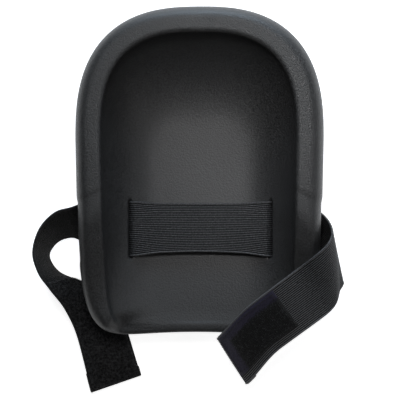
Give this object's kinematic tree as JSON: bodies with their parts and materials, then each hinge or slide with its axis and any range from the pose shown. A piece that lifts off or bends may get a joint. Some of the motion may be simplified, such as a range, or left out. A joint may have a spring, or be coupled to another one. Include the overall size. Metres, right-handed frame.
{
  "type": "knee pad",
  "caption": "Cup-shaped moulded foam knee pad with a thick rolled rim, open at the shin end, and an elastic strap through two slots that closes with hook and loop tape.",
  "frame": {"origin": "on the kneeling face, in the middle of the pad's width and length", "axes": "+Z out of the cup towards the knee, +Y towards the thigh end, +X to the side of the hook tape"},
  "size_m": [0.225, 0.2833, 0.0747],
  "materials": {
    "foam": "matte moulded closed-cell foam skin",
    "elastic": "ribbed woven elastic",
    "loop": "fuzzy loop pile",
    "hook": "matte nylon hook tape with smooth selvedges",
    "thread": "sewing thread"
  },
  "bodies": {
    "pad": {"foam_pad": "foam", "strap_bridge": "elastic", "strap_left_exit": "elastic", "strap_right_lead": "elastic"},
    "left_lead": {"strap_left_lead": "elastic"},
    "left_tail": {"strap_left_tail": "elastic", "loop_tape": "loop", "loop_tape_stitching": "thread", "left_end_hem": "elastic"},
    "right_fold": {"strap_right_fold": "elastic"},
    "right_tip": {"strap_right_tip": "elastic", "hook_tape": "hook", "hook_tape_stitching": "thread", "right_end_hem": "elastic"}
  },
  "joints": [
    {"name": "left_lead_swing", "type": "hinge", "parent": "pad", "child": "left_lead", "pos_m": [-0.09272, -0.03616, 0.01877], "axis": [0.0399, 0.6387, 0.7684], "range_deg": [-35, 0]},
    {"name": "left_tail_swing", "type": "hinge", "parent": "left_lead", "child": "left_tail", "pos_m": [-0.11847, -0.05781, 0.0245], "axis": [-0.1296, 0.1695, 0.977], "range_deg": [-80, 0]},
    {"name": "right_fold_open", "type": "hinge", "parent": "pad", "child": "right_fold", "pos_m": [0.09924, -0.05817, 0.04213], "axis": [-0.21, 0.9777, 0], "range_deg": [0, 120]},
    {"name": "right_tip_lift", "type": "hinge", "parent": "right_fold", "child": "right_tip", "pos_m": [0.06495, -0.095, 0.06772], "axis": [-0.5911, 0.8015, 0.0902], "range_deg": [0, 60]}
  ]
}
